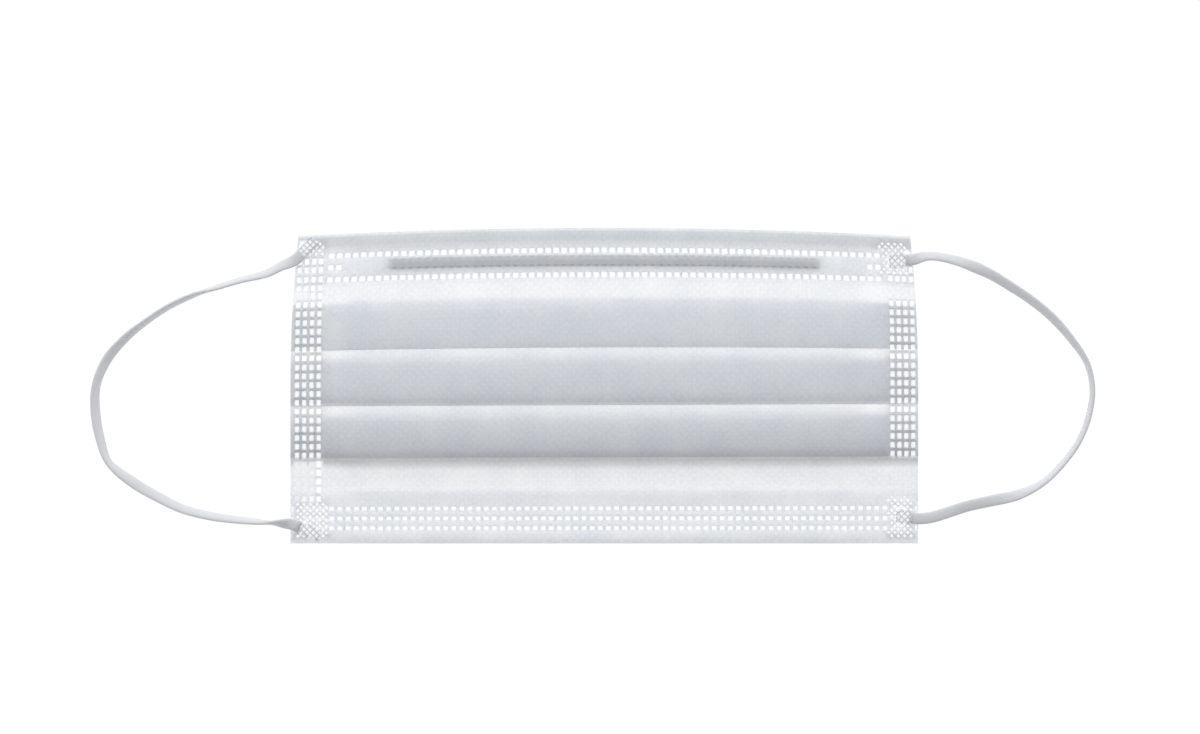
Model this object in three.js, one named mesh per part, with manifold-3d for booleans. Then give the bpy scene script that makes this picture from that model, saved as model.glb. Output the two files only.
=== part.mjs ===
// A pleated surgical face mask that lies flat with its outer face up: one laminated nonwoven sheet with
// three pleats and a hem along its nose and chin edges, a nose wire in the nose hem, and two flat elastic
// ear loops that are welded on at the corners.
// Millimetres. +X runs along the pleats, +Y towards the nose edge, +Z out of the outer face.
// The origin is on the surface that the mask lies on, under the middle of the sheet.
import * as THREE from "three";
import { mergeVertices } from "three/addons/utils/BufferGeometryUtils.js";
import Module from "manifold-3d";

const wasm = await Module();
wasm.setup();

// The sheet as it lies, from the nose edge to the chin edge.
const NOSE_HEM = 14.0; // width of the flap turned under at the nose edge
const NOSE_STEP = 5.2; // single layer between the nose hem and the first pleat
const PLEAT_COUNT = 3;
const PLEAT_PITCH = 15.3; // between the pleats' edges
const PLEAT_STEP = 2.7; // single layer between a pleat's edge and the next pleat
const CHIN_STEP = 9.8; // single layer between the last pleat's edge and the chin hem
const CHIN_HEM = 13.5; // width of the flap turned under at the chin edge
const SHEET_WIDTH = 175;
const NOSE_EDGE_WIDTH = 171; // the sides draw in towards the nose edge
const NOSE_BOW = 2.3; // how much further the nose edge reaches in its middle than at its ends

// The sheet's layers.
const SHEET_THICKNESS = 1.0;
const LAYER_GAP = 0.3;
const HEM_RAMP = 2.5; // length of the slope over the free end of a flap

// The side welds, which press the layers into one.
const SIDE_WELD_WIDTH = 9.5;
const WELD_FADE = 12.0; // how far inside a side weld the layers come up to full height
const PRESSED_HEIGHT = 0.6; // height left in a side weld, as a share of the free height

// The nose wire, between the outer layer and the nose flap.
const WIRE_LENGTH = 120;
const WIRE_WIDTH = 2.4;
const WIRE_THICKNESS = 0.6;
const WIRE_FROM_FLAP_END = 5.3;
const CHANNEL_FADE = 6.0; // how far past the wire's ends the outer layer comes down
const CLEARANCE = 0.3; // between pieces that touch on the real mask

// The ear loops: flat elastic, laid on the surface.
const LOOP_WIDTH = 3.2;
const LOOP_THICKNESS = 1.4;
const LOOP_SIDES = 8;
const LOOP_STEPS = 44;
const LOOP_LEAD = 2.0; // straight stretch next to a weld
const LOOP_OVERHANG = 4.0; // how far from its weld a loop starts to come down
const LOOP_DROP = 10.0; // length over which it comes down to the surface

// The flattened ends of the loops, welded onto the outer face. Each starts some way in from the side edge
// and from the nose or chin edge, and points inwards at an angle, in degrees towards the nose edge.
const WELDS = {
  left: {
    nose: { fromSide: 1.1, fromEdge: 5.3, angle: 44, length: 5.8, width: 3.2 },
    chin: { fromSide: 2.3, fromEdge: 4.6, angle: -23, length: 6.4, width: 3.4 },
  },
  right: {
    nose: { fromSide: 1.5, fromEdge: 6.8, angle: -6, length: 4.9, width: 4.0 },
    chin: { fromSide: 1.9, fromEdge: 7.2, angle: 7, length: 4.2, width: 3.9 },
  },
};
const WELD_TIP = 0.7; // thickness of the end of the weld
const WELD_CHAMFER = 0.9;

// The loops' middle lines as they lie, from the nose corner round to the chin corner, between the welds:
// how far outside the sheet's side each point is, and its y.
const LOOP_ROUTES = {
  left: [
    [2.5, 33.3], [6.4, 31.3], [13.5, 29.5], [20.5, 27.4], [27.3, 25.1], [33.9, 22.0], [40.0, 18.0],
    [45.9, 13.3], [51.1, 7.3], [54.1, 0.1], [54.3, -7.5], [52.5, -15.2], [49.2, -21.8], [43.3, -27.0],
    [36.6, -31.2], [30.1, -34.3], [23.0, -36.2], [15.7, -37.3], [8.2, -38.0], [2.9, -38.3],
  ],
  right: [
    [1.8, 36.0], [5.8, 35.9], [12.8, 34.2], [19.5, 31.4], [25.7, 27.7], [31.8, 23.6], [37.6, 18.7],
    [42.8, 12.7], [47.0, 6.2], [48.5, -1.1], [47.4, -8.7], [44.7, -15.5], [40.4, -21.5], [34.7, -27.0],
    [27.9, -30.4], [20.9, -32.0], [13.7, -33.6], [6.8, -35.8], [3.1, -36.8],
  ],
};

const COLOURS = { sheet: 0xdfe3e8, wire: 0xf2f4f6, elastic: 0xe9ebee };

// Worked out from the sizes above.
const SIDES = { left: -1, right: 1 };
const HALF_WIDTH = SHEET_WIDTH / 2;
const PLEAT_DEPTH = PLEAT_PITCH - PLEAT_STEP; // from a pleat's edge back to its hidden fold
const NOSE_PANEL = NOSE_HEM + NOSE_STEP + PLEAT_DEPTH; // down to the first pleat's edge
const SIDE_HEIGHT = NOSE_PANEL + (PLEAT_COUNT - 1) * PLEAT_PITCH + CHIN_STEP + CHIN_HEM;
const CHIN_Y = -(SIDE_HEIGHT + NOSE_BOW) / 2;
const NOSE_Y = CHIN_Y + SIDE_HEIGHT; // at the sides, where the nose edge doesn't bow
const LAYER = SHEET_THICKNESS + LAYER_GAP;
const GROUND = SHEET_THICKNESS / 2; // middle of the sheet where it lies on the surface
const SECOND = GROUND + LAYER; // middle of a layer that lies on another
const THIRD = SECOND + LAYER;
const FOLD_RADIUS = LAYER / 2; // of the sheet's middle in a fold
const FOLD_INSET = FOLD_RADIUS + SHEET_THICKNESS / 2; // from a fold's outermost line to its centre
const FOLD_SEGMENTS = 4;
const WIRE_Y = NOSE_Y - NOSE_HEM + WIRE_FROM_FLAP_END;
const CHANNEL = WIRE_WIDTH / 2 + CLEARANCE; // half the width of the wire's channel
const WIRE_LIFT = WIRE_THICKNESS + 2 * CLEARANCE - LAYER_GAP;
const WELD_FLOOR = (SECOND + SHEET_THICKNESS / 2) * PRESSED_HEIGHT + CLEARANCE;

const pleatEdge = (i) => NOSE_Y - NOSE_PANEL - i * PLEAT_PITCH;
const hiddenFold = (i) => pleatEdge(i) + PLEAT_DEPTH;
const clamp01 = (t) => Math.min(1, Math.max(0, t));
const smooth = (t) => clamp01(t) ** 2 * (3 - 2 * clamp01(t));

// Evenly spaced numbers from first to last, both included.
const spread = (first, last, steps) =>
  Array.from({ length: steps + 1 }, (_, i) => first + ((last - first) * i) / steps);

// Where a point of the straight layout lies on the mask: the sides draw in and the nose edge bows.
const drawnIn = (y) => 1 - (1 - NOSE_EDGE_WIDTH / SHEET_WIDTH) * clamp01(y / NOSE_Y);
function drape(x, y) {
  const bowed = clamp01((y - pleatEdge(1)) / (NOSE_Y - pleatEdge(1)));
  return [x * drawnIn(y), y + NOSE_BOW * bowed * (1 - (x / HALF_WIDTH) ** 2)];
}

const WIRE_REACH = WIRE_LENGTH / 2 / drawnIn(WIRE_Y); // from the middle to a wire end, in that layout

// The share of their free height that the layers have at x.
function heightShare(x) {
  const inside = HALF_WIDTH - SIDE_WELD_WIDTH - Math.abs(x);
  return PRESSED_HEIGHT + (1 - PRESSED_HEIGHT) * smooth(inside / WELD_FADE);
}

// How far the nose wire lifts the outer layer, which lies on the flap elsewhere in the hem.
function wireLift(x, y, z) {
  if (z < GROUND + LAYER / 2) return 0;
  const across = clamp01((CHANNEL + SHEET_THICKNESS - Math.abs(y - WIRE_Y)) / SHEET_THICKNESS);
  const along = smooth((WIRE_REACH + CLEARANCE + CHANNEL_FADE - Math.abs(x)) / CHANNEL_FADE);
  return WIRE_LIFT * across * along;
}

function onSheet(x, y, z) {
  return [...drape(x, y), (z + wireLift(x, y, z)) * heightShare(x)];
}

// A half circle from one layer to another, about a centre at y, z: side is 1 for a fold that faces the
// nose edge, and turn is 1 for one that climbs.
function fold(y, z, side, turn) {
  return spread(-Math.PI / 2, Math.PI / 2, FOLD_SEGMENTS).map((angle) => [
    y + side * FOLD_RADIUS * Math.cos(angle * turn),
    z + FOLD_RADIUS * Math.sin(angle * turn),
  ]);
}

// The middle line of the sheet in a section across the pleats, as y and z, from the nose flap's free end
// over the outer face to the chin flap's free end.
function sheetLine() {
  const lower = (GROUND + SECOND) / 2;
  const upper = (SECOND + THIRD) / 2;
  const noseFlapEnd = NOSE_Y - NOSE_HEM;
  const chinFlapEnd = CHIN_Y + CHIN_HEM;
  const line = [[noseFlapEnd, GROUND], ...fold(NOSE_Y - FOLD_INSET, lower, 1, 1)];
  for (const offset of [CHANNEL + SHEET_THICKNESS, CHANNEL, -CHANNEL, -CHANNEL - SHEET_THICKNESS]) {
    line.push([WIRE_Y + offset, SECOND]);
  }
  line.push([noseFlapEnd - CLEARANCE, SECOND]);
  for (let i = 0; i < PLEAT_COUNT; i++) {
    line.push([hiddenFold(i) - CLEARANCE, THIRD]);
    line.push(...fold(pleatEdge(i) + FOLD_INSET, upper, -1, -1));
    line.push(...fold(hiddenFold(i) - FOLD_INSET, lower, 1, -1));
    line.push([pleatEdge(i), GROUND]);
  }
  line.push([chinFlapEnd + HEM_RAMP, GROUND], [chinFlapEnd, SECOND]);
  line.push(...fold(CHIN_Y + FOLD_INSET, lower, -1, -1), [chinFlapEnd, GROUND]);
  return line.map(([y, z]) => new THREE.Vector2(y, z));
}

// The outline of a wall of the given thickness about an open line of points.
function wallOutline(line, thickness) {
  const directions = line.slice(1).map((p, i) => p.clone().sub(line[i]).normalize());
  const side = (sign) =>
    line.map((p, i) => {
      const before = directions[Math.max(i - 1, 0)];
      const after = directions[Math.min(i, directions.length - 1)];
      const along = before.clone().add(after).normalize();
      const reach = ((thickness / 2) * sign) / along.dot(before);
      return new THREE.Vector2(p.x - along.y * reach, p.y + along.x * reach);
    });
  return [...side(1), ...side(-1).reverse()];
}

const rectangle = (y0, y1, z0, z1) =>
  [[y0, z0], [y1, z0], [y1, z1], [y0, z1]].map(([y, z]) => new THREE.Vector2(y, z));

// A closed mesh through the same outline at several stations. place(x, y, z) gives each point's place.
function loft(outline, stations, place) {
  const loop = THREE.ShapeUtils.area(outline) > 0 ? outline : [...outline].reverse();
  const count = loop.length;
  const positions = stations.flatMap((x) => loop.flatMap((p) => place(x, p.x, p.y)));
  const index = [];
  for (let s = 0; s < stations.length - 1; s++) {
    for (let i = 0; i < count; i++) {
      const a = s * count + i;
      const b = s * count + ((i + 1) % count);
      index.push(a, b, b + count, a, b + count, a + count);
    }
  }
  const last = (stations.length - 1) * count;
  for (const [a, b, c] of THREE.ShapeUtils.triangulateShape(loop, [])) {
    index.push(a, c, b, last + a, last + b, last + c);
  }
  const geometry = new THREE.BufferGeometry();
  geometry.setAttribute("position", new THREE.Float32BufferAttribute(positions, 3));
  geometry.setIndex(index);
  return geometry;
}

function solidOf(geometry) {
  const bare = geometry.clone();
  bare.deleteAttribute("normal");
  bare.deleteAttribute("uv");
  const merged = mergeVertices(bare);
  const vertProperties = merged.attributes.position.array;
  const triVerts = new Uint32Array(merged.index.array);
  return new wasm.Manifold(new wasm.Mesh({ numProp: 3, vertProperties, triVerts }));
}

function geometryOf(solid) {
  const { vertProperties, triVerts } = solid.getMesh();
  const geometry = new THREE.BufferGeometry();
  geometry.setAttribute("position", new THREE.BufferAttribute(new Float32Array(vertProperties), 3));
  geometry.setIndex(new THREE.BufferAttribute(new Uint32Array(triVerts), 1));
  geometry.computeVertexNormals();
  return geometry;
}

function namedMesh(name, geometry, color, roughness) {
  const mesh = new THREE.Mesh(geometry, new THREE.MeshStandardMaterial({ color, roughness }));
  mesh.name = name;
  return mesh;
}

// What fuses the layers of a side weld: one bar in each hem and each pleat, from the middle of the lowest
// layer to the middle of the highest, and a little short of the cut edge.
function weldBars(side) {
  const ends = [HALF_WIDTH - SIDE_WELD_WIDTH, HALF_WIDTH - CLEARANCE].map((x) => x * side);
  const stations = ends.sort((a, b) => a - b);
  const noseBar = rectangle(NOSE_Y - NOSE_HEM + CLEARANCE, NOSE_Y - FOLD_INSET, GROUND, SECOND);
  const chinBar = rectangle(CHIN_Y + FOLD_INSET, CHIN_Y + CHIN_HEM - CLEARANCE, GROUND, SECOND);
  const pleatBars = spread(0, PLEAT_COUNT - 1, PLEAT_COUNT - 1).map((i) =>
    rectangle(pleatEdge(i) + FOLD_INSET, hiddenFold(i) - FOLD_INSET, GROUND, THIRD),
  );
  return [noseBar, ...pleatBars, chinBar].map((bar) => solidOf(loft(bar, stations, onSheet)));
}

function pleatedSheet() {
  const weldInner = HALF_WIDTH - SIDE_WELD_WIDTH;
  const fadeInner = weldInner - WELD_FADE;
  const wireEnd = WIRE_REACH + CLEARANCE;
  const half = [
    ...spread(0, fadeInner, 4),
    ...spread(fadeInner, weldInner, 3),
    ...spread(wireEnd, wireEnd + CHANNEL_FADE, 2),
    HALF_WIDTH,
  ];
  const stations = [...new Set([...half.map((x) => -x), ...half])].sort((a, b) => a - b);
  let solid = solidOf(loft(wallOutline(sheetLine(), SHEET_THICKNESS), stations, onSheet));
  for (const side of Object.values(SIDES)) {
    for (const bar of weldBars(side)) solid = solid.add(bar);
  }
  return namedMesh("mask_sheet", geometryOf(solid), COLOURS.sheet, 0.9);
}

// A flat strip that lies on the nose flap and follows the bow of the nose edge.
function noseWire() {
  const floor = SHEET_THICKNESS + CLEARANCE;
  const section = rectangle(WIRE_Y - WIRE_WIDTH / 2, WIRE_Y + WIRE_WIDTH / 2, floor, floor + WIRE_THICKNESS);
  const strip = loft(section, spread(-WIRE_REACH, WIRE_REACH, 12), (x, y, z) => [...drape(x, y), z]);
  return namedMesh("nose_wire", strip, COLOURS.wire, 0.5);
}

// Where a weld starts on the outer face, and the way it points from there.
function weldPlace(side, edge) {
  const { fromSide, fromEdge, angle } = WELDS[side][edge];
  const y = edge === "nose" ? NOSE_Y - fromEdge : CHIN_Y + fromEdge;
  const start = new THREE.Vector2(...drape(SIDES[side] * (HALF_WIDTH - fromSide), y));
  const rise = THREE.MathUtils.degToRad(angle);
  return { start, inwards: new THREE.Vector2(-SIDES[side] * Math.cos(rise), Math.sin(rise)) };
}

// The middle line of a loop, which leaves its welds above the sheet and comes down to the surface.
class LaidLoop extends THREE.Curve {
  constructor(side) {
    super();
    const ends = ["nose", "chin"].map((edge) => weldPlace(side, edge));
    const [noseLead, chinLead] = ends.map((e) => e.start.clone().addScaledVector(e.inwards, -LOOP_LEAD));
    const between = LOOP_ROUTES[side].map(([out, y]) => new THREE.Vector2(SIDES[side] * (HALF_WIDTH + out), y));
    const route = [ends[0].start, noseLead, ...between, chinLead, ends[1].start];
    const points = route.map((p) => new THREE.Vector3(p.x, p.y, 0));
    this.plan = new THREE.CatmullRomCurve3(points, false, "centripetal");
    this.welds = [points[0], points[points.length - 1]];
  }

  getPoint(t, target = new THREE.Vector3()) {
    this.plan.getPoint(t, target);
    const fromWeld = Math.min(...this.welds.map((weld) => weld.distanceTo(target)));
    const drop = WELD_FLOOR * smooth((fromWeld - LOOP_OVERHANG) / LOOP_DROP);
    target.z = WELD_FLOOR + LOOP_THICKNESS / 2 - drop;
    return target;
  }
}

// A tube whose section is an oval with flat sides, as high as the elastic is thick.
function earLoop(side) {
  const corner = Math.cos(Math.PI / LOOP_SIDES); // brings the flats of the section to the full size
  const section = new THREE.Shape(
    spread(0.5, LOOP_SIDES - 0.5, LOOP_SIDES - 1).map((i) => {
      const angle = (i / LOOP_SIDES) * 2 * Math.PI;
      const up = (LOOP_THICKNESS / 2 / corner) * Math.cos(angle);
      const across = (LOOP_WIDTH / 2 / corner) * Math.sin(angle);
      return new THREE.Vector2(up, across);
    }),
  );
  const tube = new THREE.ExtrudeGeometry(section, { steps: LOOP_STEPS, extrudePath: new LaidLoop(side) });
  return namedMesh(`ear_loop_${side}`, tube, COLOURS.elastic, 0.8);
}

// The flattened end of a loop: as thick as the loop where it leaves it, thinner from the middle on, and
// with its corners cut. It starts a clearance past the loop's own end.
function loopWeld(side, edge) {
  const { length, width } = WELDS[side][edge];
  const profile = new THREE.Shape();
  profile.moveTo(0, 0);
  profile.lineTo(length, 0);
  profile.lineTo(length, WELD_TIP);
  profile.lineTo(length / 2, WELD_TIP);
  profile.lineTo(0, LOOP_THICKNESS);
  const wedge = new THREE.ExtrudeGeometry(profile, { depth: width, bevelEnabled: false });
  wedge.rotateX(Math.PI / 2).translate(0, width / 2, 0);

  const plan = new THREE.Shape();
  plan.moveTo(0, -LOOP_WIDTH / 2);
  plan.lineTo(WELD_CHAMFER, -width / 2);
  plan.lineTo(length - WELD_CHAMFER, -width / 2);
  plan.lineTo(length, -width / 2 + WELD_CHAMFER);
  plan.lineTo(length, width / 2 - WELD_CHAMFER);
  plan.lineTo(length - WELD_CHAMFER, width / 2);
  plan.lineTo(WELD_CHAMFER, width / 2);
  plan.lineTo(0, LOOP_WIDTH / 2);
  const column = new THREE.ExtrudeGeometry(plan, { depth: 3 * LOOP_THICKNESS, bevelEnabled: false });
  column.translate(0, 0, -LOOP_THICKNESS);

  const tab = geometryOf(solidOf(wedge).intersect(solidOf(column)));
  const weld = namedMesh(`loop_weld_${edge}_${side}`, tab, COLOURS.elastic, 0.7);
  const { start, inwards } = weldPlace(side, edge);
  weld.position.set(start.x + inwards.x * CLEARANCE, start.y + inwards.y * CLEARANCE, WELD_FLOOR);
  weld.rotation.z = Math.atan2(inwards.y, inwards.x);
  return weld;
}

const mask = new THREE.Group();
mask.name = "surgical_face_mask";
mask.add(pleatedSheet(), noseWire());
for (const side of Object.keys(SIDES)) {
  mask.add(earLoop(side), loopWeld(side, "nose"), loopWeld(side, "chin"));
}

export default mask;
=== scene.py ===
"""A pleated surgical face mask that lies outer face up on a bright table, as Blender shows it.

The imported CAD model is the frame. The folded sheet, the ear loops and their welded ends are modelled
here in its place, and the nose wire keeps its CAD shape. Lengths are in millimetres until a mesh is
made, and Blender's objects are in metres. +X runs along the pleats, +Y towards the nose edge, +Z up.
"""

import math

import bpy
import numpy as np
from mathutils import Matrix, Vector
from mathutils.geometry import delaunay_2d_cdt


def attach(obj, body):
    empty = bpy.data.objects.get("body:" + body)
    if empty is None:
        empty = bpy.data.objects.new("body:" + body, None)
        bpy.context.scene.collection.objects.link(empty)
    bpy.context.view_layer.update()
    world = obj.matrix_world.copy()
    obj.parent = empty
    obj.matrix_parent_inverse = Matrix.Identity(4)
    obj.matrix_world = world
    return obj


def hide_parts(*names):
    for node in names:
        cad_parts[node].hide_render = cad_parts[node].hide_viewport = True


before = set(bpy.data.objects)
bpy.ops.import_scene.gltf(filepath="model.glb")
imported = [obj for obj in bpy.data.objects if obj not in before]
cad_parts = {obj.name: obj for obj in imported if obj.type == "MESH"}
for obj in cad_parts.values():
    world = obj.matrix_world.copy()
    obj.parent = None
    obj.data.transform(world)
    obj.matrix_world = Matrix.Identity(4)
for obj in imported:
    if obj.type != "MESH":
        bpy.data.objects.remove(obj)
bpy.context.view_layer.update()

MM = 0.001

# The sheet's layout, as in the part's source.
HALF_WIDTH = 87.5
NOSE_EDGE_SHARE = 0.9745
PLEAT_TILT = 0.35  # how far the pleats run up towards the right, and down towards the left
NOSE_Y = 41.7
CHIN_Y = -44.0
NOSE_HEM = 14.0
CHIN_HEM = 13.5
NOSE_BOW = 2.3
PLEAT_COUNT = 3
PLEAT_PITCH = 15.3
PLEAT_DEPTH = 12.6
FIRST_PLEAT_Y = 9.9
HEM_RAMP = 2.5
SIDE_WELD_WIDTH = 9.5
WELD_FADE = 12.0
TOTAL_HEIGHT = 3.6

# The cloth, which is thinner than the solid that stands in for it.
CLOTH = 0.45
GROUND = CLOTH / 2
THIRD = TOTAL_HEIGHT - CLOTH / 2
SECOND = (GROUND + THIRD) / 2
FOLD_RADIUS = (SECOND - GROUND) / 2
FOLD_INSET = FOLD_RADIUS + CLOTH / 2
FOLD_STEPS = 6
BAND_PRESS = 0.36  # height left in the side bands
CELL_PRESS = 0.14  # height left in a weld dot
CRISP_ANGLE = 35  # faces that meet at more degrees than this look creased

# The nose wire, and how far the two layers of the hem bulge round it.
WIRE_Y = 33.0
WIRE_REACH = 61.1
WIRE_CHANNEL = 1.5
FLAP_LIFT = 0.78
OUTER_LIFT = 0.55

# Weld dots: how far each row is from the hem's edge, its pitch and the size of its dots.
NOSE_ROWS = (5.9, 12.4)
CHIN_ROWS = (4.3, 7.0, 9.8)
NOSE_DOT = (1.58, 1.4)
CHIN_DOT = (1.36, 1.14)
BAND_DOT = (1.2, 1.64)
NOSE_DOT_PITCH = 2.279
CHIN_DOT_PITCH = 2.269
BAND_COLUMNS = {-1: (79.65, 81.65, 83.7, 85.7), 1: (80.35, 82.3, 84.2, 86.15)}
BAND_ROWS = [34.5, 32.1, 29.5, 27.2] + [25.0 - 2.456 * k for k in range(24)]
DOT_RIM = 0.12
FAINT = 0.15  # how far a dot is fused where the weld hardly reached the cloth
SINGLE_LEFT = (1.0, 0.3, 0.22, FAINT)  # the same for the left band's columns in a single layer
LAST_LEFT = (1.0, 0.4, 0.3, 0.24)  # and in the row just above the left chin patch
MERGED = 0.25  # how far a corner patch's lines are fused where a row of dots crosses them
LATTICE = 1.26  # pitch of the corner patches' crossed lines
CELL_HALF = 0.37  # half the side of the diamonds between those lines
CELL_RIM = 0.08
LINE_SHADE_WEIGHT = 0.6  # painted shade for the denser cloth in those lines, where 1 is as much as above and below a band's dots

# The ear loops: how far outside the sheet's side each point of the middle line is, its y, and how wide
# the elastic looks there from above, which says how far it is turned on its edge. Where the width is
# negative, the elastic is turned the other way.
LOOP_WIDTH = 3.2
LOOP_THICKNESS = 1.3
LOOP_ROUTES = {
    "left": [
        (2.5, 33.3, -2.7), (6.4, 31.3, -2.3), (13.5, 29.5, -1.85), (20.5, 27.4, -1.65), (27.3, 25.1, 1.5),
        (33.9, 22.0, 1.65), (40.0, 18.0, 1.75), (45.9, 13.3, 2.2), (51.1, 7.3, 2.55), (54.1, 0.1, 2.25),
        (54.3, -7.5, 2.5), (52.9, -15.2, 2.3), (50.5, -21.4, 1.9), (43.8, -27.0, 2.9), (36.6, -31.2, 2.7),
        (30.1, -34.3, 2.45), (23.0, -36.2, 2.35), (15.7, -37.3, 2.05), (8.2, -38.0, 1.5), (2.9, -38.3, -2.2),
    ],
    "right": [
        (1.8, 36.0, 2.6), (5.8, 35.9, 2.5), (12.8, 34.2, 2.95), (19.5, 31.4, -2.9), (25.7, 27.7, -2.6),
        (31.8, 23.6, -2.4), (37.6, 18.7, -2.3), (42.8, 12.7, -1.9), (47.0, 6.2, -1.5), (48.5, -1.1, -1.4),
        (47.4, -8.7, -1.5), (44.7, -15.5, -1.5), (40.4, -21.5, -1.6), (34.7, -27.0, -1.8), (27.9, -30.4, -2.8),
        (20.9, -32.0, 3.2), (13.7, -33.6, 3.15), (6.8, -35.8, 3.2), (3.1, -36.8, 3.2),
    ],
}
WELDS = {
    ("left", "nose"): {"start": (-84.68, 36.45), "angle": 44, "length": 5.8, "width": 3.2},
    ("left", "chin"): {"start": (-85.2, -39.4), "angle": -23, "length": 6.4, "width": 3.4},
    ("right", "nose"): {"start": (84.35, 34.97), "angle": 174 + 12, "length": 4.9, "width": 4.0},
    ("right", "chin"): {"start": (85.6, -36.8), "angle": 173, "length": 4.2, "width": 3.9},
}
LOOP_LEAD = 2.0
LOOP_OVERHANG = 4.0
LOOP_DROP = 10.0
WELD_FLOOR = 0.76  # top of the pressed sheet under a loop's end

SIDES = {"left": -1, "right": 1}


def clamp01(t):
    return np.clip(t, 0.0, 1.0)


def smooth(t):
    t = clamp01(t)
    return t * t * (3 - 2 * t)


def pleat_edge(i):
    return FIRST_PLEAT_Y - i * PLEAT_PITCH


def hidden_fold(i):
    return pleat_edge(i) + PLEAT_DEPTH


def drape(x, y):
    """Where points of the straight layout lie on the mask: the sides draw in and the nose edge bows."""
    drawn = 1 - (1 - NOSE_EDGE_SHARE) * clamp01(y / NOSE_Y) ** 2
    bowed = clamp01((y - pleat_edge(1)) / (NOSE_Y - pleat_edge(1)))
    tilted = np.sin(math.pi * clamp01((y - CHIN_Y) / (NOSE_Y - CHIN_Y))) * x / HALF_WIDTH
    return x * drawn, y + NOSE_BOW * bowed * (1 - (x / HALF_WIDTH) ** 2) + PLEAT_TILT * tilted


# The camera looks straight down, so that the width of the photograph covers 334.8 mm of the table.
camera_data = bpy.data.cameras.new("camera")
camera_data.lens = 120
camera_data.sensor_width = 36
camera_data.clip_end = 20
camera = bpy.data.objects.new("camera", camera_data)
camera.location = (-1.2 * MM, 5.2 * MM, 1116 * MM)
bpy.context.scene.collection.objects.link(camera)
bpy.context.scene.camera = camera


# Meshes and materials

def new_object(name, points, faces, smooth_faces=True):
    """A mesh object from points in millimetres."""
    mesh = bpy.data.meshes.new(name)
    mesh.from_pydata((np.asarray(points, float) * MM).tolist(), [], faces)
    mesh.validate()
    mesh.update()
    if smooth_faces:
        mesh.polygons.foreach_set("use_smooth", [True] * len(mesh.polygons))
    obj = bpy.data.objects.new(name, mesh)
    bpy.context.scene.collection.objects.link(obj)
    return obj


def set_uv(obj, uv):
    """Gives each vertex its place on the flat cloth, in millimetres."""
    layer = obj.data.uv_layers.new(name="flat")
    index = np.zeros(len(obj.data.loops), int)
    obj.data.loops.foreach_get("vertex_index", index)
    layer.data.foreach_set("uv", np.asarray(uv, float)[index].ravel())


def set_attribute(obj, name, values):
    attribute = obj.data.attributes.new(name, "FLOAT", "POINT")
    attribute.data.foreach_set("value", np.asarray(values, np.float32))


class Nodes:
    """A short way to build a material's node tree."""

    def __init__(self, name):
        self.material = bpy.data.materials.new(name)
        self.material.use_nodes = True
        self.tree = self.material.node_tree
        self.tree.nodes.clear()

    def add(self, kind, inputs=None, **settings):
        node = self.tree.nodes.new(kind)
        for key, value in settings.items():
            setattr(node, key, value)
        for key, value in (inputs or {}).items():
            if isinstance(value, bpy.types.NodeSocket):
                self.tree.links.new(value, node.inputs[key])
            else:
                node.inputs[key].default_value = value
        return node

    def math(self, operation, a, b=0.0, c=0.0, clamp=False):
        inputs = {0: a, 1: b, 2: c}
        return self.add("ShaderNodeMath", inputs, operation=operation, use_clamp=clamp).outputs[0]

    def ramp(self, value, low, high, to_low=0.0, to_high=1.0):
        inputs = {"Value": value, "From Min": low, "From Max": high, "To Min": to_low, "To Max": to_high}
        return self.add("ShaderNodeMapRange", inputs, interpolation_type="SMOOTHSTEP").outputs[0]

    def mix_colour(self, factor, a, b):
        node = self.add("ShaderNodeMix", {0: factor, 6: a, 7: b}, data_type="RGBA")
        return node.outputs[2]

    def attribute(self, name):
        return self.add("ShaderNodeAttribute", attribute_name=name).outputs["Fac"]

    def flat(self):
        """The place on the flat cloth as x and y sockets, in millimetres, and the vector."""
        vector = self.add("ShaderNodeUVMap", uv_map="flat").outputs[0]
        split = self.add("ShaderNodeSeparateXYZ", {0: vector})
        return split.outputs[0], split.outputs[1], vector

    def noise(self, vector, scale, detail=2.0, roughness=0.5):
        inputs = {"Vector": vector, "Scale": scale, "Detail": detail, "Roughness": roughness}
        return self.add("ShaderNodeTexNoise", inputs).outputs["Fac"]

    def finish(self, surface):
        self.add("ShaderNodeOutputMaterial", {"Surface": surface})
        return self.material


def cloth_shader(nodes, colour, through, normal, roughness=0.85):
    """A white fibre surface that lets part of the light behind it through, softened."""
    front = nodes.add(
        "ShaderNodeBsdfPrincipled",
        {"Base Color": colour, "Roughness": roughness, "Specular IOR Level": 0.15, "Normal": normal},
    )
    back = nodes.add("ShaderNodeBsdfTranslucent", {"Color": colour, "Normal": normal})
    return nodes.add(
        "ShaderNodeMixShader", {0: through, 1: front.outputs[0], 2: back.outputs[0]}
    ).outputs[0]


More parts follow.
